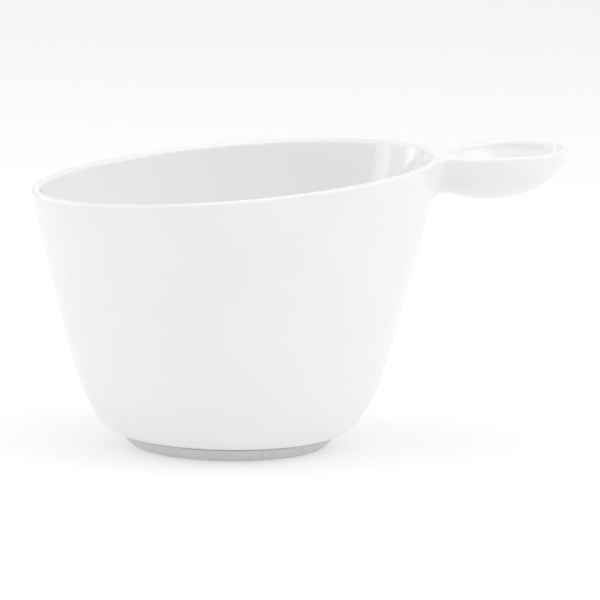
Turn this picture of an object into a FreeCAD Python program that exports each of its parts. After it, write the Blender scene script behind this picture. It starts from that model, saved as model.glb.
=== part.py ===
"""Shaving mug: a deep glazed porcelain cup with a slanted rim and a small hollow dish as its handle.

The document is in millimetres. The origin is on the cup's axis at the level of the table, +Z is up, and
the handle points along +X. The cup and its foot are turned about Z. The handle is turned about its own
long axis, flattened, and tilted so that its tip is its highest point.
"""
import FreeCAD, Part
import os

import Sketcher

XZ = "XZ_Plane"
FULL_TURN = 360.0
ON_PLANE = 1e-4
ZERO = FreeCAD.Vector(0, 0, 0)
UP = FreeCAD.Vector(0, 0, 1)

DIMENSIONS = [
    # cup, outside: three arcs that run into each other, from the foot's edge to above the rim
    ("foot_edge_radius", 28.0),
    ("foot_height", 3.6),
    ("heel_radius", 9.1),
    ("heel_top", 7.4),
    ("haunch_radius", 44.0),
    ("haunch_top", 20.0),
    ("wall_bow_radius", 560.0),
    ("blank_top", 80.0),
    ("blank_top_radius", 54.45),
    # cup, inside
    ("rim_thickness", 2.35),
    ("floor_thickness", 4.0),
    ("inner_corner_radius", 14.0),
    ("inner_corner_top", 17.55),
    ("inner_bow_radius", 560.0),
    # rim: a slanted plane through this height on the axis, rounded over on both edges
    ("rim_height_on_axis", 72.0),
    ("rim_slope", 0.0945),
    ("rim_round", 1.05),
    ("blank_reach", 75.0),
    ("blank_clear", 130.0),
    # foot ring, unglazed
    ("foot_outer_bow", 9.0),
    ("foot_contact_outer", 24.6),
    ("foot_contact_inner", 21.6),
    ("foot_inner_radius", 20.4),
    ("foot_edge_round", 0.5),
    # handle: a hollow dish, its half length, half width and depth, with a flared root
    ("dish_centre", 67.0),
    ("dish_top", 77.28),
    ("dish_tilt", 2.62),
    ("dish_half_length", 21.4),
    ("dish_half_width", 17.7),
    ("dish_depth", 12.7),
    ("flare_radius", 2.3),
    ("flare_reach", 11.21),
    ("flare_end_x", 13.09),
    ("root_length", 2.0),
    ("dish_lip_round", 0.95),
    # hollow in the dish: an egg in plan, its narrow end towards the cup
    ("hollow_shift", 5.5),
    ("hollow_half_length", 13.8),
    ("hollow_half_width", 15.3),
    ("hollow_depth", 10.4),
    ("turning_lift", 0.5),
    ("hollow_flank_radius", 22.0),
    ("hollow_flank_start", 2.66),
    ("hollow_nose_radius", 3.5),
    # where the flared root ends and the dish begins
    ("root_end", 56.6),
    ("zone_size", 120.0),
    # the middle of the cup's wall, where the root is trimmed
    ("trim_bottom", 50.0),
    ("trim_bottom_radius", 46.8),
    ("trim_height", 32.0),
    ("trim_top_radius", 53.4),
]


def fill_sheet(doc):
    """Write the driving dimensions, one row each, and return them by name."""
    sheet = doc.addObject("Spreadsheet::Sheet", "dims")
    for row, (name, value) in enumerate(DIMENSIONS, start=1):
        sheet.set("A%d" % row, name)
        sheet.set("B%d" % row, str(value))
        sheet.setAlias("B%d" % row, name)
    doc.recompute()
    return dict(DIMENSIONS)


def bind(obj, **expressions):
    """Bind each property of obj to an expression on the sheet."""
    for prop, expression in expressions.items():
        obj.setExpression(prop, expression)


def point(x, y):
    return FreeCAD.Vector(x, y, 0)


def new_sketch(body, role, name):
    """A sketch on one of the body's own origin planes."""
    sketch = body.newObject("Sketcher::SketchObject", name)
    plane = next(item for item in body.Origin.OriginFeatures if item.Role == role)
    sketch.AttachmentSupport = [(plane, "")]
    sketch.MapMode = "FlatFace"
    return sketch


def arc(sketch, start, middle, end):
    return sketch.addGeometry(Part.Arc(point(*start), point(*middle), point(*end)), False)


def line(sketch, start, end):
    return sketch.addGeometry(Part.LineSegment(point(*start), point(*end)), False)


def measure(sketch, kind, *where, name, rule):
    """Add a dimension to a sketch, name it and drive it from the sheet."""
    index = sketch.addConstraint(Sketcher.Constraint(kind, *where))
    sketch.renameConstraint(index, name)
    sketch.setExpression("Constraints." + name, rule)


def relate(sketch, kind, *where):
    sketch.addConstraint(Sketcher.Constraint(kind, *where))


def place_x(sketch, geo, pos, value, name, rule):
    """Distance of a point from the sketch's vertical axis."""
    measure(sketch, "DistanceX", -1, 1, geo, pos, value, name=name, rule=rule)


def place_y(sketch, geo, pos, value, name, rule):
    """Distance of a point from the sketch's horizontal axis."""
    measure(sketch, "DistanceY", -1, 1, geo, pos, value, name=name, rule=rule)


def edges_on_plane(shape, origin, normal):
    """Numbers (from 1) of the edges that lie wholly on a plane."""
    found = []
    for number, edge in enumerate(shape.Edges, start=1):
        first, last = edge.ParameterRange
        samples = [edge.valueAt(first + (last - first) * part / 6.0) for part in range(7)]
        if all(abs((sample - origin).dot(normal)) < ON_PLANE for sample in samples):
            found.append(number)
    return found


def make_cup_body(doc, size):
    """The cup: wall and floor in one piece, cut by a slanted plane and rounded over at the rim."""
    body = doc.addObject("PartDesign::Body", "cup_body")
    body.Label = "cup_body"

    profile = new_sketch(body, XZ, "cup_profile")
    foot = (size["foot_edge_radius"], size["foot_height"])
    heel = (34.2, size["heel_top"])
    haunch = (39.5, size["haunch_top"])
    top = (size["blank_top_radius"], size["blank_top"])
    inner_top = (size["blank_top_radius"] - size["rim_thickness"], size["blank_top"])
    inner_corner = (35.9, size["inner_corner_top"])
    floor_end = (22.7, size["foot_height"] + size["floor_thickness"])

    outer_heel = arc(profile, foot, (31.6, 4.9), heel)
    outer_haunch = arc(profile, heel, (37.4, 12.7), haunch)
    outer_wall = arc(profile, haunch, (48.0, 48.5), top)
    rim = line(profile, top, inner_top)
    inner_wall = arc(profile, inner_corner, (45.2, 48.0), inner_top)
    inner_bend = arc(profile, floor_end, (32.0, 11.2), inner_corner)
    floor = line(profile, floor_end, (0.0, floor_end[1]))
    axis = line(profile, (0.0, floor_end[1]), (0.0, size["foot_height"]))
    underside = line(profile, (0.0, size["foot_height"]), foot)

    relate(profile, "Tangent", outer_heel, 2, outer_haunch, 1)
    relate(profile, "Tangent", outer_haunch, 2, outer_wall, 1)
    relate(profile, "Coincident", outer_wall, 2, rim, 1)
    relate(profile, "Horizontal", rim)
    relate(profile, "Coincident", rim, 2, inner_wall, 2)
    relate(profile, "Tangent", inner_bend, 2, inner_wall, 1)
    relate(profile, "Tangent", inner_bend, 1, floor, 1)
    relate(profile, "Horizontal", floor)
    relate(profile, "Coincident", floor, 2, axis, 1)
    relate(profile, "PointOnObject", axis, 1, -2)
    relate(profile, "Vertical", axis)
    relate(profile, "Coincident", axis, 2, underside, 1)
    relate(profile, "Horizontal", underside)
    relate(profile, "Coincident", underside, 2, outer_heel, 1)

    place_x(profile, outer_heel, 1, foot[0], "foot_edge", "dims.foot_edge_radius")
    place_y(profile, outer_heel, 1, foot[1], "foot_top", "dims.foot_height")
    measure(profile, "Radius", outer_heel, size["heel_radius"], name="heel", rule="dims.heel_radius")
    place_y(profile, outer_heel, 2, heel[1], "heel_top", "dims.heel_top")
    measure(profile, "Radius", outer_haunch, size["haunch_radius"], name="haunch",
            rule="dims.haunch_radius")
    place_y(profile, outer_haunch, 2, haunch[1], "haunch_top", "dims.haunch_top")
    measure(profile, "Radius", outer_wall, size["wall_bow_radius"], name="wall_bow",
            rule="dims.wall_bow_radius")
    place_y(profile, outer_wall, 2, top[1], "blank_top", "dims.blank_top")
    measure(profile, "DistanceX", rim, 2, rim, 1, size["rim_thickness"], name="rim_thickness",
            rule="dims.rim_thickness")
    measure(profile, "Radius", inner_wall, size["inner_bow_radius"], name="inner_bow",
            rule="dims.inner_bow_radius")
    measure(profile, "Radius", inner_bend, size["inner_corner_radius"], name="inner_corner",
            rule="dims.inner_corner_radius")
    place_y(profile, inner_bend, 2, inner_corner[1], "inner_corner_top", "dims.inner_corner_top")
    place_y(profile, floor, 2, floor_end[1], "floor_top", "dims.foot_height + dims.floor_thickness")
    place_x(profile, outer_wall, 2, top[0], "blank_top_radius", "dims.blank_top_radius")
    doc.recompute()

    turned = body.newObject("PartDesign::Revolution", "cup_turned")
    turned.Profile = profile
    turned.ReferenceAxis = (profile, ["V_Axis"])
    turned.Angle = FULL_TURN
    profile.Visibility = False
    doc.recompute()

    slant = new_sketch(body, XZ, "rim_slant")
    reach = size["blank_reach"]
    rise = size["rim_slope"] * reach
    low = (-reach, size["rim_height_on_axis"] - rise)
    high = (reach, size["rim_height_on_axis"] + rise)
    cut_line = line(slant, low, high)
    right = line(slant, high, (reach, size["blank_clear"]))
    above = line(slant, (reach, size["blank_clear"]), (-reach, size["blank_clear"]))
    left = line(slant, (-reach, size["blank_clear"]), low)
    relate(slant, "Coincident", cut_line, 2, right, 1)
    relate(slant, "Coincident", right, 2, above, 1)
    relate(slant, "Coincident", above, 2, left, 1)
    relate(slant, "Coincident", left, 2, cut_line, 1)
    relate(slant, "Vertical", right)
    relate(slant, "Vertical", left)
    relate(slant, "Horizontal", above)
    place_x(slant, cut_line, 2, reach, "reach_right", "dims.blank_reach")
    measure(slant, "DistanceX", cut_line, 1, -1, 1, reach, name="reach_left", rule="dims.blank_reach")
    place_y(slant, cut_line, 1, low[1], "low_side",
            "dims.rim_height_on_axis - dims.rim_slope * dims.blank_reach")
    place_y(slant, cut_line, 2, high[1], "high_side",
            "dims.rim_height_on_axis + dims.rim_slope * dims.blank_reach")
    place_y(slant, right, 2, size["blank_clear"], "clear_above", "dims.blank_clear")
    doc.recompute()

    before = turned.Shape.Volume
    cut = body.newObject("PartDesign::Pocket", "rim_cut")
    cut.Profile = slant
    cut.Type = "Length"
    cut.SideType = "Symmetric"
    bind(cut, Length="2 * dims.blank_reach")
    doc.recompute()
    if not cut.Shape.Volume < before:
        raise RuntimeError("the rim cut removed nothing")

    rim_point = FreeCAD.Vector(0, 0, size["rim_height_on_axis"])
    rim_normal = FreeCAD.Vector(-size["rim_slope"], 0, 1).normalize()
    rounded = body.newObject("PartDesign::Fillet", "rim_rounding")
    rounded.Base = (cut, ["Edge%d" % n for n in edges_on_plane(cut.Shape, rim_point, rim_normal)])
    bind(rounded, Radius="dims.rim_round")
    body.Tip = rounded
    doc.recompute()
    return body


def make_foot_ring(doc, size):
    """The unglazed ring that the mug stands on: bowed in on the outside, open in the middle."""
    body = doc.addObject("PartDesign::Body", "foot_ring")
    body.Label = "foot_ring"
    profile = new_sketch(body, XZ, "foot_profile")
    top = size["foot_height"]
    edge = size["foot_edge_radius"]
    outer = size["foot_contact_outer"]
    inner = size["foot_contact_inner"]
    hole = size["foot_inner_radius"]
    middle = ((edge + outer) / 2 + 0.18, top / 2 - 0.18)

    side = arc(profile, (outer, 0.0), middle, (edge, top))
    roof = line(profile, (edge, top), (hole, top))
    inside = line(profile, (hole, top), (inner, 0.0))
    ground = line(profile, (inner, 0.0), (outer, 0.0))
    relate(profile, "Coincident", side, 2, roof, 1)
    relate(profile, "Horizontal", roof)
    relate(profile, "Coincident", roof, 2, inside, 1)
    relate(profile, "Coincident", inside, 2, ground, 1)
    relate(profile, "Coincident", ground, 2, side, 1)
    relate(profile, "PointOnObject", ground, 1, -1)
    relate(profile, "PointOnObject", ground, 2, -1)
    place_x(profile, roof, 1, edge, "edge", "dims.foot_edge_radius")
    place_y(profile, roof, 1, top, "height", "dims.foot_height")
    place_x(profile, roof, 2, hole, "hole", "dims.foot_inner_radius")
    place_x(profile, ground, 1, inner, "contact_inner", "dims.foot_contact_inner")
    place_x(profile, ground, 2, outer, "contact_outer", "dims.foot_contact_outer")
    measure(profile, "Radius", side, size["foot_outer_bow"], name="bow", rule="dims.foot_outer_bow")
    doc.recompute()

    turned = body.newObject("PartDesign::Revolution", "foot_turned")
    turned.Profile = profile
    turned.ReferenceAxis = (profile, ["V_Axis"])
    turned.Angle = FULL_TURN
    doc.recompute()

    rounded = body.newObject("PartDesign::Fillet", "foot_edges")
    rounded.Base = (turned, ["Edge%d" % n for n in edges_on_plane(turned.Shape, ZERO, UP)])
    bind(rounded, Radius="dims.foot_edge_round")
    body.Tip = rounded
    doc.recompute()
    return body


def make_dish_outside(doc, size):
    """The handle's outside: half its plan, turned about its long axis and flattened.

    The plan has a round end, a waist and a flared root. The turning axis lies just above the dish's top.
    """
    body = doc.addObject("PartDesign::Body", "dish_outside_round")
    profile = new_sketch(body, XZ, "dish_plan")
    radius = size["dish_half_width"]
    waist = (-9.92, 14.66)
    flare_end = (-size["flare_end_x"], 15.2)
    root = (flare_end[0] - size["root_length"], 17.6)

    round_end = arc(profile, (radius, 0.0), (8.0, 15.79), waist)
    flare = arc(profile, flare_end, (-11.4, 14.26), waist)
    root_side = line(profile, flare_end, root)
    root_end = line(profile, root, (root[0], 0.0))
    spine = line(profile, (root[0], 0.0), (radius, 0.0))
    relate(profile, "Coincident", round_end, 3, -1, 1)
    relate(profile, "Tangent", round_end, 2, flare, 2)
    relate(profile, "Tangent", flare, 1, root_side, 1)
    relate(profile, "Coincident", root_side, 2, root_end, 1)
    relate(profile, "Vertical", root_end)
    relate(profile, "Coincident", root_end, 2, spine, 1)
    relate(profile, "PointOnObject", spine, 1, -1)
    relate(profile, "Coincident", spine, 2, round_end, 1)
    relate(profile, "PointOnObject", spine, 2, -1)
    measure(profile, "Radius", round_end, radius, name="half_width", rule="dims.dish_half_width")
    measure(profile, "Radius", flare, size["flare_radius"], name="flare", rule="dims.flare_radius")
    measure(profile, "DistanceX", flare, 3, -1, 1, size["flare_reach"], name="flare_reach",
            rule="dims.flare_reach")
    measure(profile, "DistanceX", flare, 1, -1, 1, size["flare_end_x"], name="flare_end",
            rule="dims.flare_end_x")
    measure(profile, "DistanceX", root_end, 1, flare, 1, size["root_length"], name="root_length",
            rule="dims.root_length")
    doc.recompute()

    turned = body.newObject("PartDesign::Revolution", "dish_turned")
    turned.Profile = profile
    turned.ReferenceAxis = (profile, ["H_Axis"])
    turned.Angle = FULL_TURN
    body.Tip = turned
    doc.recompute()

    flat = doc.addObject("Part::Scale", "dish_outside")
    flat.Base = body
    flat.Uniform = False
    bind(flat, XScale="dims.dish_half_length / dims.dish_half_width", YScale="1",
         ZScale="(dims.dish_depth + dims.turning_lift) / dims.dish_half_width")
    flat.setExpression("Placement.Base.z", "dims.turning_lift")
    doc.recompute()
    return flat


def make_hollow(doc, size):
    """The hollow of the dish as a solid: an egg in plan, turned about its long axis and flattened."""
    body = doc.addObject("PartDesign::Body", "hollow_round")
    profile = new_sketch(body, XZ, "hollow_plan")
    radius = size["hollow_half_width"]
    shoulder = (-size["hollow_flank_start"], 15.07)
    nose_start = (-18.45, 2.6)
    nose = (-19.6, 0.0)

    broad = arc(profile, (radius, 0.0), (9.2, 12.23), shoulder)
    flank = arc(profile, shoulder, (-12.5, 10.6), nose_start)
    tip = arc(profile, nose_start, (-19.3, 1.4), nose)
    spine = line(profile, nose, (radius, 0.0))
    relate(profile, "Coincident", broad, 3, -1, 1)
    relate(profile, "Tangent", broad, 2, flank, 1)
    relate(profile, "Tangent", flank, 2, tip, 1)
    relate(profile, "PointOnObject", tip, 3, -1)
    relate(profile, "Coincident", tip, 2, spine, 1)
    relate(profile, "PointOnObject", spine, 1, -1)
    relate(profile, "Coincident", spine, 2, broad, 1)
    relate(profile, "PointOnObject", spine, 2, -1)
    measure(profile, "Radius", broad, radius, name="half_width", rule="dims.hollow_half_width")
    measure(profile, "Radius", flank, size["hollow_flank_radius"], name="flank",
            rule="dims.hollow_flank_radius")
    measure(profile, "Radius", tip, size["hollow_nose_radius"], name="nose",
            rule="dims.hollow_nose_radius")
    measure(profile, "DistanceX", broad, 2, -1, 1, size["hollow_flank_start"], name="flank_start",
            rule="dims.hollow_flank_start")
    doc.recompute()

    turned = body.newObject("PartDesign::Revolution", "hollow_turned")
    turned.Profile = profile
    turned.ReferenceAxis = (profile, ["H_Axis"])
    turned.Angle = FULL_TURN
    body.Tip = turned
    doc.recompute()

    flat = doc.addObject("Part::Scale", "dish_hollow")
    flat.Base = body
    flat.Uniform = False
    bind(flat, XScale="dims.hollow_half_length / dims.hollow_half_width", YScale="1",
         ZScale="(dims.hollow_depth + dims.turning_lift) / dims.hollow_half_width")
    flat.setExpression("Placement.Base.x", "dims.hollow_shift")
    flat.setExpression("Placement.Base.z", "dims.turning_lift")
    doc.recompute()
    return flat


def make_zone(doc, name, x_rule, z_rule):
    """A large box that ends at a given x and z and is centred on y."""
    box = doc.addObject("Part::Box", name)
    bind(box, Length="dims.zone_size", Width="dims.zone_size", Height="dims.zone_size")
    box.setExpression("Placement.Base.x", x_rule)
    box.setExpression("Placement.Base.y", "-dims.zone_size / 2")
    box.setExpression("Placement.Base.z", z_rule)
    return box


def combine(doc, kind, name, first, second):
    result = doc.addObject(kind, name)
    result.Base = first
    result.Tool = second
    return result


def round_edges(doc, name, base, edges, radius):
    rounded = doc.addObject("Part::Fillet", name)
    rounded.Base = base
    rounded.Edges = [(number, radius, radius) for number in edges]
    doc.recompute()
    return rounded


def make_handle(doc, size, cup):
    """The handle in two nodes: the flared root that is joined to the cup's wall, and the hollow dish."""
    outside = make_dish_outside(doc, size)
    hollow = make_hollow(doc, size)
    lip = size["dish_lip_round"]

    above = make_zone(doc, "above_dish", "-dims.zone_size / 2", "0")
    lower_half = combine(doc, "Part::Cut", "dish_lower_half", outside, above)
    doc.recompute()
    root_x = lower_half.Shape.BoundBox.XMin
    outer_edges = [n for n in edges_on_plane(lower_half.Shape, ZERO, UP)
                   if lower_half.Shape.Edges[n - 1].CenterOfMass.x > root_x + ON_PLANE]
    rounded_outside = round_edges(doc, "dish_outer_lip", lower_half, outer_edges, lip)

    block = make_zone(doc, "mould_block", "-dims.zone_size / 2", "-dims.zone_size")
    mould = combine(doc, "Part::Cut", "hollow_mould", block, hollow)
    doc.recompute()
    inner_edges = [n for n in edges_on_plane(mould.Shape, ZERO, UP)
                   if abs(mould.Shape.Edges[n - 1].CenterOfMass.y) < size["hollow_half_width"]
                   and mould.Shape.Edges[n - 1].Length < size["zone_size"] / 2]
    rounded_mould = round_edges(doc, "hollow_inner_lip", mould, inner_edges, lip)

    handle = combine(doc, "Part::Common", "handle_whole", rounded_outside, rounded_mould)
    handle.Placement.Rotation = FreeCAD.Rotation(FreeCAD.Vector(0, -1, 0), size["dish_tilt"])
    handle.setExpression("Placement.Base.x", "dims.dish_centre")
    handle.setExpression("Placement.Base.z", "dims.dish_top")
    handle.setExpression("Placement.Rotation.Angle", "dims.dish_tilt")
    doc.recompute()

    root_side = make_zone(doc, "root_side", "dims.root_end - dims.zone_size", "0")
    dish = combine(doc, "Part::Cut", "handle_dish", handle, root_side)
    dish.Label = "handle_dish"

    root_blank = combine(doc, "Part::Common", "root_blank", handle, root_side)
    wall_middle = doc.addObject("Part::Cone", "wall_middle")
    bind(wall_middle, Radius1="dims.trim_bottom_radius", Radius2="dims.trim_top_radius",
         Height="dims.trim_height")
    wall_middle.setExpression("Placement.Base.z", "dims.trim_bottom")
    outside_wall = combine(doc, "Part::Cut", "root_outside_wall", root_blank, wall_middle)
    neck = combine(doc, "Part::Cut", "handle_neck", outside_wall, cup)
    neck.Label = "handle_neck"
    doc.recompute()
    return neck, dish


def check(doc, nodes):
    """Stop if any object of the document failed, or a node isn't one valid solid."""
    for obj in doc.Objects:
        if "Invalid" in obj.State or "Error" in obj.State:
            raise RuntimeError("%s did not build: %s" % (obj.Name, obj.State))
    for node in nodes:
        shape = node.Shape
        if shape.isNull() or not shape.isValid() or len(shape.Solids) != 1:
            raise RuntimeError("%s is not one valid solid (%d solids)" % (node.Label, len(shape.Solids)))


def main():
    doc = FreeCAD.newDocument("shaving_mug")
    size = fill_sheet(doc)
    cup = make_cup_body(doc, size)
    foot = make_foot_ring(doc, size)
    neck, dish = make_handle(doc, size, cup)
    doc.recompute()
    nodes = [cup, foot, neck, dish]
    check(doc, nodes)
    os.makedirs("parts", exist_ok=True)
    for node in nodes:
        node.Shape.exportStep("parts/%s.step" % node.Label)
        box = node.Shape.BoundBox
        print("%s: %.0f mm3, x %.1f..%.1f, y %.1f..%.1f, z %.1f..%.1f" % (
            node.Label, node.Shape.Volume, box.XMin, box.XMax, box.YMin, box.YMax, box.ZMin, box.ZMax))


main()
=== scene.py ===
"""Shaving mug of white glazed porcelain on a bare foot, with its studio."""
import math

import bpy
import numpy as np
from mathutils import Matrix, Vector


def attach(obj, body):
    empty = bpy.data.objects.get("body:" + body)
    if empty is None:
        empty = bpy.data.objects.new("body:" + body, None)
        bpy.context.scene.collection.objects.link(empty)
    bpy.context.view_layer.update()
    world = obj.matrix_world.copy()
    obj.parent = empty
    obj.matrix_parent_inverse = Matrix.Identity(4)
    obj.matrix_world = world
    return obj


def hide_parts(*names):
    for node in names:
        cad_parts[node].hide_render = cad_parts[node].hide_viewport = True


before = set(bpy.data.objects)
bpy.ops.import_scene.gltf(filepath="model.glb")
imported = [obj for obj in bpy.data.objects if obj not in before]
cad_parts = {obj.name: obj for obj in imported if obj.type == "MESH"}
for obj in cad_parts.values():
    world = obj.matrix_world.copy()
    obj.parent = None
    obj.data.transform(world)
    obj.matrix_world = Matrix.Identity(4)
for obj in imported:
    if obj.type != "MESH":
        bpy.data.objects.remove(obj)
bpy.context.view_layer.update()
scene = bpy.context.scene

MM = 0.001

# ---------------------------------------------------------------- shape of the mug, in millimetres
# The cup is turned about Z. From the foot's edge up, its outside is a heel, a haunch and a slightly bowed
# side; its inside is a flat floor, a corner and a bowed side. Each is an arc that runs into the next.
FLOOR_UNDER = 3.6
FLOOR_TOP = 7.6
FOOT_EDGE = (28.0, FLOOR_UNDER)
HEEL_RADIUS = 9.1
HEEL_TOP = 7.4
HAUNCH_RADIUS = 44.0
HAUNCH_TOP = 20.0
SIDE_RADIUS = 560.0
WALL = 2.35
BLANK_TOP = (54.45, 80.0)
CORNER_RADIUS = 14.0
CORNER_TOP = 17.55
HEEL_ROUND = 0.25

# The rim plane is this high on the axis and rises by the slope toward the handle.
RIM_HEIGHT = 72.0
RIM_SLOPE = 0.0945
RIM_ROUND = 1.12

# The foot's side is an arc from where it stands to its edge; its hole narrows upward.
FOOT_STAND_RADIUS = 24.6
FOOT_BOW_RADIUS = 9.0
FOOT_HOLE_TOP = 20.4
FOOT_HOLE_LOW = 21.6
FOOT_ROUND = 0.5

# The handle's dish and its hollow are tapered ellipsoids. DISH_PLACE is the (x, z) of the dish's own origin,
# the middle of its top; the ellipsoids lie DISH_LIFT above it. A HALF is the half axes along, across and down.
# A TAPER (a, b, c) scales the sections by a + b u + c u u, where u runs from -1 to 1 along the length.
DISH_PLACE = (67.35, 77.28)
DISH_TILT = math.radians(2.62)
DISH_HALF = (20.8, 17.7, 13.3)
DISH_TAPER = (1.0, 0.012, 0.0)
DISH_LIFT = 0.5
DISH_LIP = 1.0
HOLLOW_CENTRE = 3.4
HOLLOW_HALF = (15.55, 15.4, 10.9)
HOLLOW_TAPER = (0.985, 0.165, -0.2)
ROOT_FILLET = 6.2

# Between these two x the top eases from the rim plane to the dish's top.
LAND_START = 54.1
LAND_LENGTH = 5.5

# The handle's skin laps past the fillet by LAP and LAP_DEPTH inside the cup's outside; where it meets the
# cup it stands PROUD of it, and is let into the wall by LET_IN.
LAP = 0.8
PROUD = 0.012
LET_IN = 0.6
LAP_DEPTH = 1.0
LAP_ROUND = 0.2

# Meshes: points around, the grid's step and the box that holds the handle, rounds of evening out, and
# the small flat disc that closes a turned mesh on the axis.
CUP_AROUND = 320
FOOT_AROUND = 256
NET_STEP = 0.36
HANDLE_LOW = (42, -27, 54)
HANDLE_HIGH = (90, 27, 80)
EVENING_ROUNDS = 3
AXIS_DISC = 0.6
# Where rings start before they settle: the rounded edge under the heel; the middle radius of the rim,
# how much that grows toward the handle, and half the width of the lip.
EDGE_START = 27.93
LIP_RADIUS = 51.45
LIP_LEAN = 0.9
LIP_HALF = 1.15


def rounded_cut(a, b, radius):
    """Where both a and b are below zero, with the edge between them rounded."""
    return np.minimum(np.maximum(a, b), -radius) + np.hypot(np.maximum(a + radius, 0),
                                                            np.maximum(b + radius, 0))


def filleted_join(a, b, radius):
    """Where a or b is below zero, with the inside corner between them filleted."""
    return np.maximum(np.minimum(a, b), radius) - np.hypot(np.maximum(radius - a, 0),
                                                           np.maximum(radius - b, 0))


def side_arc(top_radius, joint_height, lean):
    """The bowed side as (centre r, centre z, radius), and the point where it starts.

    lean is the vertical part of the unit normal there.
    """
    centre_z = joint_height - SIDE_RADIUS * lean
    centre_r = top_radius - math.sqrt(SIDE_RADIUS ** 2 - (BLANK_TOP[1] - centre_z) ** 2)
    start = (centre_r + SIDE_RADIUS * math.sqrt(1 - lean ** 2), joint_height)
    return (centre_r, centre_z, SIDE_RADIUS), start


def arc_into(joint, lean, radius):
    """The arc of this radius that ends at the joint with that lean."""
    return (joint[0] - radius * math.sqrt(1 - lean ** 2), joint[1] - radius * lean, radius)


def outside_arcs(lean):
    """Heel, haunch and side, and the joints between them, for a lean where the side starts."""
    side, haunch_end = side_arc(BLANK_TOP[0], HAUNCH_TOP, lean)
    haunch = arc_into(haunch_end, lean, HAUNCH_RADIUS)
    heel_lean = (HEEL_TOP - haunch[1]) / HAUNCH_RADIUS
    heel_end = (haunch[0] + HAUNCH_RADIUS * math.sqrt(1 - heel_lean ** 2), HEEL_TOP)
    return (arc_into(heel_end, heel_lean, HEEL_RADIUS), haunch, side), (heel_end, haunch_end)


def solve_outside():
    """The outside arcs whose heel starts at the foot's edge, found by halving the range of the lean."""
    low, high = -0.35, -0.26
    for _ in range(50):
        lean = (low + high) / 2
        heel = outside_arcs(lean)[0][0]
        gap = math.hypot(FOOT_EDGE[0] - heel[0], FOOT_EDGE[1] - heel[1]) - HEEL_RADIUS
        low, high = (lean, high) if gap > 0 else (low, lean)
    return outside_arcs(lean)


def inside_arcs():
    """Corner and side, and the joint between them."""
    lean = (CORNER_TOP - FLOOR_TOP) / CORNER_RADIUS - 1
    side, corner_end = side_arc(BLANK_TOP[0] - WALL, CORNER_TOP, lean)
    return (arc_into(corner_end, lean, CORNER_RADIUS), side), corner_end


def foot_bow():
    """The arc of the foot's side, through where it stands and the foot's edge."""
    run, rise = FOOT_EDGE[0] - FOOT_STAND_RADIUS, FOOT_EDGE[1]
    chord = math.hypot(run, rise)
    reach = math.sqrt(FOOT_BOW_RADIUS ** 2 - chord ** 2 / 4) / chord
    return (FOOT_STAND_RADIUS + run / 2 - rise * reach, rise / 2 + run * reach, FOOT_BOW_RADIUS)


OUTER_ARCS, OUTER_JOINTS = solve_outside()
INNER_ARCS, INNER_JOINT = inside_arcs()
FOOT_BOW = foot_bow()


def beyond(r, z, joint, centre):
    """True on the far side of the joint, going round the centre."""
    along_r, along_z = centre[1] - joint[1], joint[0] - centre[0]
    return (r - joint[0]) * along_r + (z - joint[1]) * along_z > 0


def arc_distance(r, z, arc):
    """Distance from the arc's whole circle, below zero inside it."""
    return np.hypot(r - arc[0], z - arc[1]) - arc[2]


def outside_wall(r, z):
    """Distance from the cup's outside as turned, below zero inside it. Under the heel it is level."""
    heel = arc_distance(np.maximum(r, OUTER_ARCS[0][0]), z, OUTER_ARCS[0])
    haunch, wall = (arc_distance(r, z, arc) for arc in OUTER_ARCS[1:])
    upper = np.where(beyond(r, z, OUTER_JOINTS[1], OUTER_ARCS[1]), wall, haunch)
    return np.where(beyond(r, z, OUTER_JOINTS[0], OUTER_ARCS[0]), upper, heel)


def inside_wall(r, z):
    """Distance from the cup's inside, below zero in the hollow."""
    bend, wall = (arc_distance(r, z, arc) for arc in INNER_ARCS)
    side = np.where(beyond(r, z, INNER_JOINT, INNER_ARCS[0]), wall, bend)
    return np.where(r < INNER_ARCS[0][0], FLOOR_TOP - z, side)


def above_rim(x, z):
    """Height over the rim plane, square to it."""
    return (z - RIM_HEIGHT - RIM_SLOPE * x) / math.hypot(1, RIM_SLOPE)


def cup(p):
    """Distance from the cup's surface, below zero in the clay."""
    x, y, z = p
    r = np.hypot(x, y)
    shell = np.maximum(rounded_cut(outside_wall(r, z), FLOOR_UNDER - z, HEEL_ROUND), -inside_wall(r, z))
    return rounded_cut(shell, above_rim(x, z), RIM_ROUND)


def foot(p):
    """Distance from the foot ring's surface, below zero in the clay."""
    x, y, z = p
    r = np.hypot(x, y)
    side = arc_distance(r, z, FOOT_BOW)
    lean = (FOOT_HOLE_LOW - FOOT_HOLE_TOP) / FLOOR_UNDER
    hole = (FOOT_HOLE_LOW - lean * z - r) / math.hypot(1, lean)
    ring = rounded_cut(np.maximum(side, hole), -z, FOOT_ROUND)
    return np.maximum(ring, z - FLOOR_UNDER)


def dish_frame(p):
    """The dish's own axes: origin in the middle of its top, x along it, tilted up at the tip."""
    x, y, z = p[0] - DISH_PLACE[0], p[1], p[2] - DISH_PLACE[1]
    c, s = math.cos(DISH_TILT), math.sin(DISH_TILT)
    return c * x + s * z, y, c * z - s * x


def egg(x, y, z, half, taper):
    """Near its surface, the distance from an ellipsoid whose sections are scaled by the taper along x."""
    u = x / half[0]
    scale = np.maximum(taper[0] + taper[1] * u + taper[2] * u * u, 0.05)
    section = (y / half[1]) ** 2 + (z / half[2]) ** 2
    level = np.sqrt(np.maximum(u * u + section / scale ** 2, 1e-9))
    slope_x = u / half[0] - section / scale ** 3 * (taper[1] + 2 * taper[2] * u) / half[0]
    slope_yz = np.sqrt((y / half[1] ** 2) ** 2 + (z / half[2] ** 2) ** 2) / scale ** 2
    return level * (level - 1) / np.maximum(np.hypot(slope_x, slope_yz), 1e-6)


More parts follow.
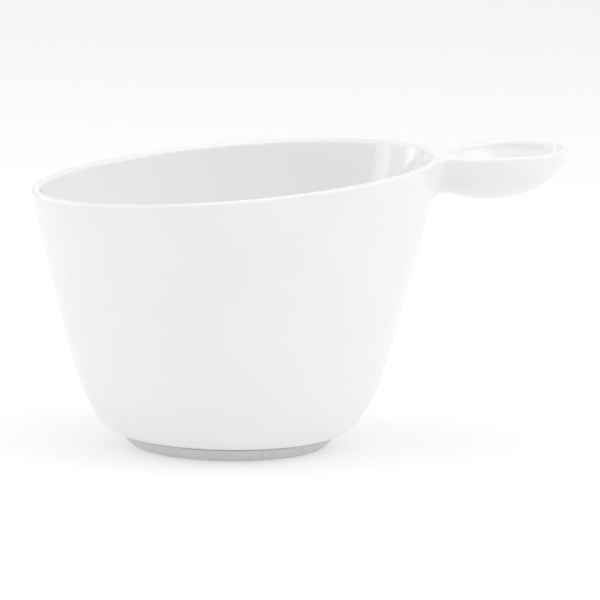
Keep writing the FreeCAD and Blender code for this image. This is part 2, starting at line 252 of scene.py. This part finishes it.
def ware(p):
    """Cup and handle as one piece: joined by a fillet, cut off at the top, hollowed, its lips rounded."""
    x, y, z = dish_frame(p)
    r = np.hypot(p[0], p[1])
    wall = outside_wall(r, p[2])
    side = filleted_join(wall, egg(x, y, z - DISH_LIFT, DISH_HALF, DISH_TAPER), ROOT_FILLET)
    along = np.clip((p[0] - LAND_START) / LAND_LENGTH, 0, 1)
    along = along * along * (3 - 2 * along)
    top = (1 - along) * above_rim(p[0], p[2]) + along * z
    solid = rounded_cut(np.maximum(side, -inside_wall(r, p[2])), top, RIM_ROUND)
    hollow = egg(x - HOLLOW_CENTRE, y, z - DISH_LIFT, HOLLOW_HALF, HOLLOW_TAPER)
    return rounded_cut(solid, -hollow, DISH_LIP)


def handle_piece(p):
    """The ware as far as the lap reaches, a hair proud of the cup and let into the wall."""
    x, y, z = dish_frame(p)
    near = egg(x, y, z - DISH_LIFT, DISH_HALF, DISH_TAPER) - ROOT_FILLET - LAP
    middle = outside_wall(np.hypot(p[0], p[1]), p[2]) + LAP_DEPTH
    reach = rounded_cut(near, -middle, LAP_ROUND)
    return np.maximum(np.maximum(ware(p) - PROUD, reach), -cup(p) - LET_IN)


# ---------------------------------------------------------------- meshes
def gradient(field, points, step=0.02):
    """The field's slope at each point, by differences."""
    columns = []
    for axis in range(3):
        shift = np.zeros((3, 1))
        shift[axis] = step
        columns.append((field(points + shift) - field(points - shift)) / (2 * step))
    return np.array(columns)


def settle(field, points, rounds=4, reach=0.3):
    """Move points along the field's slope until they lie on its surface."""
    for _ in range(rounds):
        slope = gradient(field, points)
        size = np.maximum((slope ** 2).sum(0), 0.05)
        points = points - np.clip(field(points) / size, -reach, reach) * slope
    return points


def unit(vectors):
    """Vectors made one long."""
    return vectors / np.maximum(np.linalg.norm(vectors, axis=0), 1e-9)


def make_object(name, points, faces, normals, material):
    """A smooth-shaded piece whose points, given in millimetres, keep these normals."""
    mesh = bpy.data.meshes.new(name)
    mesh.from_pydata((points.T * MM).tolist(), [], faces)
    mesh.shade_smooth()
    mesh.normals_split_custom_set_from_vertices(normals.T.tolist())
    mesh.materials.append(material)
    obj = bpy.data.objects.new(name, mesh)
    scene.collection.objects.link(obj)
    return obj


def arc_r(arc, z):
    """The arc's radius from the axis at height z."""
    return arc[0] + np.sqrt(np.maximum(arc[2] ** 2 - (z - arc[1]) ** 2, 0))


def ring_faces(rings, around, closed):
    """Quads between neighbouring rings of points; the last ring joins the first if closed."""
    faces = []
    for i in range(rings if closed else rings - 1):
        a, b = i * around, (i + 1) % rings * around
        for j in range(around):
            k = (j + 1) % around
            faces.append((a + j, a + k, b + k, b + j))
    return faces


def turned_points(profile_r, profile_z, around):
    """Profiles are rings x around arrays of radius and height."""
    angle = np.arange(around) * 2 * math.pi / around
    return np.array([(profile_r * np.cos(angle)).ravel(), (profile_r * np.sin(angle)).ravel(),
                     profile_z.ravel()])


def make_cup(material):
    """Rings from the underside's centre, up the outside, over the rim and down to the floor's centre."""
    angle = np.arange(CUP_AROUND) * 2 * math.pi / CUP_AROUND
    lip_r = LIP_RADIUS + LIP_LEAN * np.cos(angle)
    lip_z = RIM_HEIGHT + RIM_SLOPE * lip_r * np.cos(angle) - RIM_ROUND
    heel, haunch, side = OUTER_ARCS
    corner, inner_side = INNER_ARCS
    heel_top, haunch_top = OUTER_JOINTS[0][1], OUTER_JOINTS[1][1]
    radii, heights = [], []

    def ring(r, z):
        radii.append(np.broadcast_to(r, angle.shape))
        heights.append(np.broadcast_to(z, angle.shape))

    for r in (AXIS_DISC, 6.0, 12.0, 18.0, 23.0, 26.5, 27.4, 27.7):
        ring(r, FLOOR_UNDER)
    for rise in (0.02, 0.15):
        ring(EDGE_START + rise, FLOOR_UNDER + rise)
    for z in np.concatenate([[FLOOR_UNDER + 0.4], np.linspace(FLOOR_UNDER + 0.8, heel_top, 9)]):
        ring(arc_r(heel, z), z)
    for z in np.linspace(heel_top + 0.9, haunch_top, 13):
        ring(arc_r(haunch, z), z)
    for part in np.linspace(0, 1, 34)[1:]:
        z = haunch_top + (lip_z - haunch_top) * part
        ring(arc_r(side, z), z)
    for turn in np.linspace(0, math.pi, 15)[1:-1]:
        ring(lip_r + LIP_HALF * math.cos(turn), lip_z + RIM_ROUND * math.sin(turn))
    for part in np.linspace(1, 0, 34):
        z = INNER_JOINT[1] + (lip_z - INNER_JOINT[1]) * part
        ring(arc_r(inner_side, z), z)
    for turn in np.linspace(0.31, math.pi / 2, 14)[1:]:
        ring(corner[0] + CORNER_RADIUS * math.cos(turn), corner[1] - CORNER_RADIUS * math.sin(turn))
    for r in (19.0, 14.0, 9.0, 4.5, AXIS_DISC):
        ring(r, FLOOR_TOP)

    points = settle(cup, turned_points(np.array(radii), np.array(heights), CUP_AROUND))
    rings = len(radii)
    faces = ring_faces(rings, CUP_AROUND, False)
    faces.append(tuple(range(CUP_AROUND - 1, -1, -1)))
    faces.append(tuple(range((rings - 1) * CUP_AROUND, rings * CUP_AROUND)))
    return make_object("cup_body_glazed", points, faces, unit(gradient(cup, points)), material)


def make_foot(material):
    """Rings down the foot's side, across where it stands, up its hole and back under the floor.

    They start close to the surface, nearest together at the rounded edges, and then settle onto it.
    """
    loop = [(arc_r(FOOT_BOW, z), z) for z in (FLOOR_UNDER, 3.2, 2.7, 2.2, 1.7, 1.3)]
    loop += [(25.4 - 0.9 * (1 - z), z) for z in (1.0, 0.8, 0.6, 0.4, 0.2, 0.06)]
    loop += [(r, 0.0) for r in (24.2, 23.6, 23.0, 22.4, 22.0)]
    loop += [(21.75, 0.06), (FOOT_HOLE_LOW, 0.2), (21.45, 0.45), (21.3, 0.8), (21.0, 1.6), (20.7, 2.6)]
    loop += [(r, FLOOR_UNDER) for r in (FOOT_HOLE_TOP, 22.0, 24.0, 26.0, 27.5)]
    radii, heights = (np.repeat(np.array(values)[:, None], FOOT_AROUND, 1) for values in zip(*loop))
    points = settle(foot, turned_points(radii, heights, FOOT_AROUND))
    faces = [face[::-1] for face in ring_faces(len(loop), FOOT_AROUND, True)]
    return make_object("foot_ring_bare", points, faces, unit(gradient(foot, points)), material)


def surface_net(field, low, high, step):
    """A closed quad mesh of the field's zero surface, one point in each grid cell that it crosses."""
    axes = [np.arange(a, b, step) for a, b in zip(low, high)]
    grid = np.array(np.meshgrid(*axes, indexing="ij"))
    value = field(grid.reshape(3, -1)).reshape(grid.shape[1:])
    clay = value < 0
    nx, ny, nz = (n - 1 for n in clay.shape)

    def corner(array, i, j, k):
        return array[..., i:i + nx, j:j + ny, k:k + nz]

    corners = [(i, j, k) for i in (0, 1) for j in (0, 1) for k in (0, 1)]
    filled = sum(corner(clay, *c).astype(int) for c in corners)
    active = (filled > 0) & (filled < 8)
    total = np.zeros((3,) + active.shape)
    count = np.zeros(active.shape)
    for a in corners:
        for axis in range(3):
            if a[axis]:
                continue
            b = tuple(v + (n == axis) for n, v in enumerate(a))
            va, vb = corner(value, *a), corner(value, *b)
            crossed = (va < 0) != (vb < 0)
            part = np.where(crossed, va / np.where(crossed, va - vb, 1), 0)
            place = corner(grid, *a) + part * (corner(grid, *b) - corner(grid, *a))
            total += np.where(crossed, place, 0)
            count += crossed
    points = (total / np.maximum(count, 1))[:, active]
    number = -np.ones(active.shape, int)
    number[active] = np.arange(points.shape[1])

    faces = []
    for axis in range(3):
        u, v = (axis + 1) % 3, (axis + 2) % 3
        near = [slice(1, -1)] * 3
        near[axis] = slice(0, -1)
        far = list(near)
        far[axis] = slice(1, None)
        leaving = clay[tuple(near)] & ~clay[tuple(far)]
        entering = ~clay[tuple(near)] & clay[tuple(far)]
        for hits, order in ((leaving, (0, 1, 2, 3)), (entering, (3, 2, 1, 0))):
            cells = np.array(np.nonzero(hits))
            cells[u] += 1
            cells[v] += 1
            ring = []
            for du, dv in ((-1, -1), (0, -1), (0, 0), (-1, 0)):
                at = cells.copy()
                at[u] += du
                at[v] += dv
                ring.append(number[tuple(at)])
            faces.append(np.array([ring[n] for n in order]).T)
    return points, np.concatenate(faces)


def even_out(points, faces):
    """Each point moves halfway to the mean of its neighbours."""
    total = np.zeros_like(points)
    count = np.zeros(points.shape[1])
    for here in range(4):
        for beside in ((here + 1) % 4, (here + 3) % 4):
            np.add.at(total.T, faces[:, here], points.T[faces[:, beside]])
            np.add.at(count, faces[:, here], 1)
    return (points + total / count) / 2


def make_handle(material):
    """The lapping skin, with the whole ware's normals so that the lap does not show."""
    points, faces = surface_net(handle_piece, HANDLE_LOW, HANDLE_HIGH, NET_STEP)
    points = settle(handle_piece, points)
    for _ in range(EVENING_ROUNDS):
        points = settle(handle_piece, even_out(points, faces), rounds=2)
    normals = unit(gradient(ware, points))
    return make_object("handle_glazed", points, faces.tolist(), normals, material)


# ---------------------------------------------------------------- materials
# Noise mostly stays between these two values, so colours and roughness are spread over them.
NOISE_LOW = 0.35
NOISE_HIGH = 0.65


def new_material(name):
    """A material with its node tree and its shader node."""
    mat = bpy.data.materials.new(name)
    mat.use_nodes = True
    return mat, mat.node_tree, mat.node_tree.nodes["Principled BSDF"]


def noise(tree, size, detail=2.0, roughness=0.5):
    """Noise over the object's own coordinates, with features of about this size in metres."""
    where = tree.nodes.get("where") or tree.nodes.new("ShaderNodeTexCoord")
    where.name = "where"
    node = tree.nodes.new("ShaderNodeTexNoise")
    node.inputs["Scale"].default_value = 1 / size
    node.inputs["Detail"].default_value = detail
    node.inputs["Roughness"].default_value = roughness
    tree.links.new(where.outputs["Object"], node.inputs["Vector"])
    return node.outputs["Fac"]


def between(tree, value, low, high):
    """A number that follows the noise from low to high."""
    node = tree.nodes.new("ShaderNodeMapRange")
    for name, number in (("From Min", NOISE_LOW), ("From Max", NOISE_HIGH),
                         ("To Min", low), ("To Max", high)):
        node.inputs[name].default_value = number
    tree.links.new(value, node.inputs["Value"])
    return node.outputs["Result"]


def blend_colours(tree, value, low, high):
    """A colour that follows the noise from low to high."""
    ramp = tree.nodes.new("ShaderNodeValToRGB")
    for stop, place, colour in zip(ramp.color_ramp.elements, (NOISE_LOW, NOISE_HIGH), (low, high)):
        stop.position = place
        stop.color = (*colour, 1)
    tree.links.new(value, ramp.inputs["Fac"])
    return ramp.outputs["Color"]


def bump(tree, shader, layers):
    """Relief from layers of (height, depth in metres)."""
    normal = None
    for height, depth in layers:
        node = tree.nodes.new("ShaderNodeBump")
        node.inputs["Strength"].default_value = 1.0
        node.inputs["Distance"].default_value = depth
        tree.links.new(height, node.inputs["Height"])
        if normal:
            tree.links.new(normal, node.inputs["Normal"])
        normal = node.outputs["Normal"]
    tree.links.new(normal, shader.inputs["Normal"])


def glazed_porcelain(name):
    """Clear gloss over a white body: faint pooling of the glaze, orange peel, and slow waves."""
    mat, tree, shader = new_material(name)
    pooling = noise(tree, 22 * MM, 3.0)
    gloss = noise(tree, 6 * MM, 4.0, 0.6)
    waves = noise(tree, 18 * MM, 1.0)
    orange_peel = noise(tree, 1.6 * MM, 2.0)
    tree.links.new(blend_colours(tree, pooling, (0.845, 0.85, 0.852), (0.865, 0.865, 0.86)),
                   shader.inputs["Base Color"])
    tree.links.new(between(tree, gloss, 0.05, 0.10), shader.inputs["Roughness"])
    bump(tree, shader, ((waves, 0.1 * MM), (orange_peel, 0.0035 * MM)))
    return mat


def bare_porcelain_and_painted_shade(name):
    """Fired clay without glaze: matt, fine grained, with a few darker grains. Its grey is partly the bare
    clay's own tone and partly painted shade for the shade under the cup's overhang.
    """
    mat, tree, shader = new_material(name)
    grains = noise(tree, 1.2 * MM, 6.0, 0.7)
    dryness = noise(tree, 0.9 * MM, 4.0, 0.6)
    unevenness = noise(tree, 4 * MM, 3.0)
    grit = noise(tree, 0.5 * MM, 4.0, 0.7)
    # Painted shade: the foot's colour is made grey, partly the bare clay's own tone and partly standing in for
    # the shade that falls under the cup.
    tree.links.new(blend_colours(tree, grains, (0.6, 0.605, 0.62), (0.66, 0.665, 0.675)),
                   shader.inputs["Base Color"])
    tree.links.new(between(tree, dryness, 0.62, 0.85), shader.inputs["Roughness"])
    bump(tree, shader, ((unevenness, 0.06 * MM), (grit, 0.025 * MM)))
    return mat


white = glazed_porcelain("white_glaze")
bare = bare_porcelain_and_painted_shade("bare_foot")

cup_piece = make_cup(white)
foot_piece = make_foot(bare)
handle_obj = make_handle(white)
for piece, nodes, slot in ((cup_piece, ("cup_body",), "white_glaze"),
                           (foot_piece, ("foot_ring",), "bare_foot"),
                           (handle_obj, ("handle_neck", "handle_dish"), "white_glaze")):
    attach(piece, "root")
    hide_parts(*nodes)


# ---------------------------------------------------------------- camera and studio
# Lengths here are in metres.
HANDLE_TURN = math.radians(8.0)
CAMERA_ELEVATION = math.radians(9.22)
CAMERA_ROLL = math.radians(0.85)
CAMERA_DISTANCE = 1.3
LENS = 300.0
AIM_RIGHT = 0.01806
AIM_HEIGHT = 0.0383


def make_camera():
    """A long lens, a little above the rim, with the handle turned slightly away."""
    right = Vector((math.cos(HANDLE_TURN), -math.sin(HANDLE_TURN), 0))
    away = Vector((math.sin(HANDLE_TURN), math.cos(HANDLE_TURN), 0))
    upright = Vector((0, 0, 1))
    forward = away * math.cos(CAMERA_ELEVATION) - upright * math.sin(CAMERA_ELEVATION)
    up = upright * math.cos(CAMERA_ELEVATION) + away * math.sin(CAMERA_ELEVATION)
    c, s = math.cos(CAMERA_ROLL), math.sin(CAMERA_ROLL)
    cam_right = right * c + up * s
    cam_up = up * c - right * s
    cam = bpy.data.objects.new("camera", bpy.data.cameras.new("camera"))
    scene.collection.objects.link(cam)
    cam.data.lens = LENS
    cam.data.sensor_width = 36.0
    cam.data.clip_start = 0.05
    cam.data.clip_end = 50.0
    turn = Matrix((cam_right, cam_up, -forward)).transposed().to_4x4()
    place = right * AIM_RIGHT + upright * AIM_HEIGHT - forward * CAMERA_DISTANCE
    cam.matrix_world = Matrix.Translation(place) @ turn
    scene.camera = cam


def make_surroundings():
    """Even white light from all around."""
    world = bpy.data.worlds.new("studio")
    scene.world = world
    world.use_nodes = True
    background = world.node_tree.nodes["Background"]
    background.inputs["Color"].default_value = (1, 1, 1, 1)
    background.inputs["Strength"].default_value = 0.6


LIT_POINT = Vector((0.0, 0.0, 0.05))
FLOOR_REACH = 6.0


def softbox(name, azimuth, height, distance, width, tall, power):
    """A soft light that faces the mug.

    azimuth is counted from the camera, positive to its right, and height from the floor, both in
    degrees; width and tall are the light's sides in metres, and power is in watts.
    """
    turn = math.radians(azimuth) - HANDLE_TURN
    rise = math.radians(height)
    out = Vector((math.sin(turn), -math.cos(turn), 0))
    place = LIT_POINT + (out * math.cos(rise) + Vector((0, 0, math.sin(rise)))) * distance
    light = bpy.data.lights.new(name, "AREA")
    light.shape = "RECTANGLE"
    light.size = width
    light.size_y = tall
    light.energy = power
    obj = bpy.data.objects.new(name, light)
    scene.collection.objects.link(obj)
    obj.location = place
    obj.rotation_euler = (LIT_POINT - place).to_track_quat("-Z", "Y").to_euler()
    obj.visible_camera = False


def make_floor():
    """A plain pale floor, a little bright of itself so that it stays near white at the far end."""
    reach = FLOOR_REACH
    mesh = bpy.data.meshes.new("floor")
    mesh.from_pydata([(-reach, -reach, 0), (reach, -reach, 0), (reach, reach, 0), (-reach, reach, 0)],
                     [], [(0, 1, 2, 3)])
    floor = bpy.data.objects.new("floor", mesh)
    scene.collection.objects.link(floor)
    mat, _, shader = new_material("floor")
    shader.inputs["Base Color"].default_value = (0.55, 0.55, 0.55, 1)
    shader.inputs["Roughness"].default_value = 0.9
    shader.inputs["Specular IOR Level"].default_value = 0.0
    shader.inputs["Emission Color"].default_value = (1, 1, 1, 1)
    shader.inputs["Emission Strength"].default_value = 0.43
    mesh.materials.append(mat)
    return floor


make_camera()
make_surroundings()
softbox("overhead", 0, 89, 1.2, 1.0, 1.0, 4.0)
softbox("key", -5, 36, 1.1, 1.2, 0.5, 1.3)
softbox("right", 75, 34, 1.1, 1.0, 0.6, 3.1)
softbox("left", -75, 34, 1.1, 1.0, 0.6, 1.7)
softbox("back_right", 125, 20, 1.1, 0.9, 0.7, 0.8)
softbox("back_left", -125, 20, 1.1, 0.9, 0.7, 1.2)
softbox("back", 180, 14, 1.5, 1.6, 0.5, 0.9)
softbox("low_left", -104, 6, 0.9, 0.22, 0.26, 0.25)
softbox("low_back_left", -133, 6, 0.9, 0.16, 0.26, 0.15)
floor = make_floor()

scene.view_settings.view_transform = "Standard"
